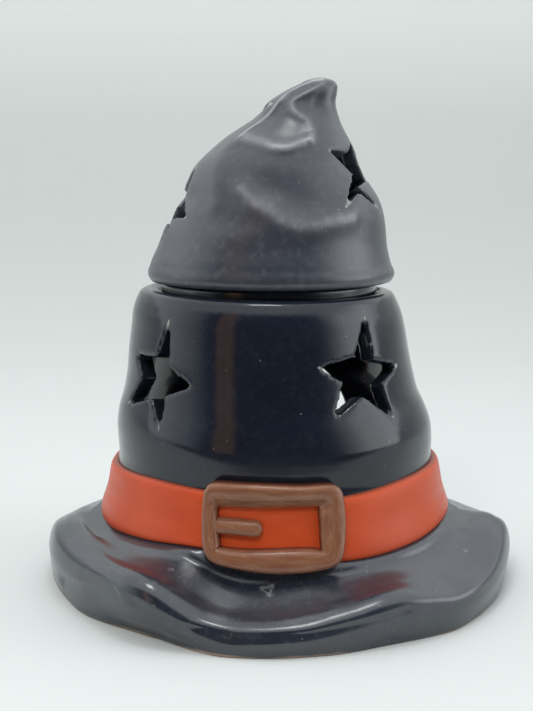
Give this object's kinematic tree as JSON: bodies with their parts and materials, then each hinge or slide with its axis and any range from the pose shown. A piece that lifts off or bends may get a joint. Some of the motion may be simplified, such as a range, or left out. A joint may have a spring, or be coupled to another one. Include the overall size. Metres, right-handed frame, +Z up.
{
  "type": "wax burner",
  "caption": "Witch hat wax burner: a brim and a crown with star windows and a rear arch, a band with a buckle, a wax dish and a crooked tip as the lid.",
  "frame": {"origin": "on the table plane, under the middle of the brim's outline", "axes": "+Z up, the buckle and the front face -Y, the rear arch faces +Y, and the tip leans towards +X"},
  "size_m": [0.1514, 0.1536, 0.1591],
  "materials": {
    "black_glaze": "glossy blue-black glaze with small pinholes",
    "dish_glaze": "glossy blue-black glaze",
    "satin_glaze": "satin blue-black glaze with small pinholes",
    "orange_glaze": "hand-painted orange-red gloss",
    "brown_glaze": "hand-painted brown gloss with brush marks",
    "foil": "thin drawn foil",
    "candle_wax": "white paraffin wax",
    "tab_steel": "tinned steel",
    "cotton": "braided cotton"
  },
  "bodies": {
    "hat": {"brim": "black_glaze", "crown": "black_glaze", "hat_band": "orange_glaze", "buckle_frame": "brown_glaze", "buckle_prong": "brown_glaze"},
    "dish": {"wax_dish": "dish_glaze"},
    "tip": {"tip_lid": "satin_glaze"},
    "tealight": {"tealight_cup": "foil", "tealight_wax": "candle_wax", "wick_tab": "tab_steel", "tealight_wick": "cotton"}
  },
  "joints": [
    {"name": "dish_lift", "type": "slide", "parent": "hat", "child": "dish", "axis": [0, 0, 1], "range_m": [0, 0.05]},
    {"name": "tip_lift", "type": "slide", "parent": "dish", "child": "tip", "axis": [0, 0, 1], "range_m": [0, 0.06]},
    {"name": "tealight_slide", "type": "slide", "parent": "hat", "child": "tealight", "axis": [0, 1, 0], "range_m": [0, 0.1]}
  ]
}
